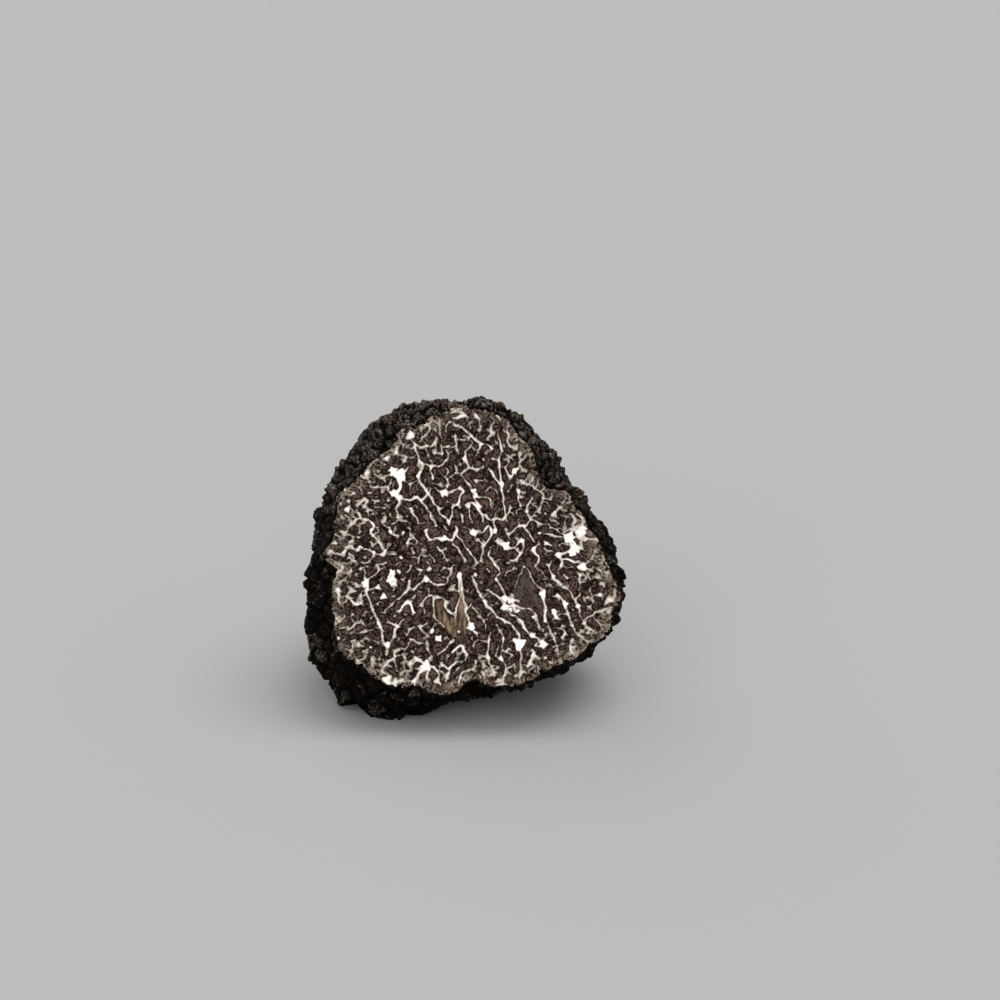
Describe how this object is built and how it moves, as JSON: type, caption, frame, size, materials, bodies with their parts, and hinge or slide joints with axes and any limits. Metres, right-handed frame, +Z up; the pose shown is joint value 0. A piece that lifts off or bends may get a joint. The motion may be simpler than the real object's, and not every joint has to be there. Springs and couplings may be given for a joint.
{
  "type": "cut black truffle",
  "caption": "Whole black truffle with a slice taken off its front: lobed body, skin of small pyramidal warts, and one flat cut face, lying on a small flat spot.",
  "frame": {"origin": "middle of the small flat spot on the underside that the truffle rests on", "axes": "+Z up, +X to the right of someone who looks at the cut face, -Y towards that person; the cut face leans back by 20 degrees"},
  "size_m": [0.0655, 0.0554, 0.0639],
  "materials": {
    "truffle_skin": "matt near-black warty skin, with a marbled dark brown and white cut face"
  },
  "bodies": {
    "root": {"truffle": "truffle_skin"}
  },
  "joints": []
}
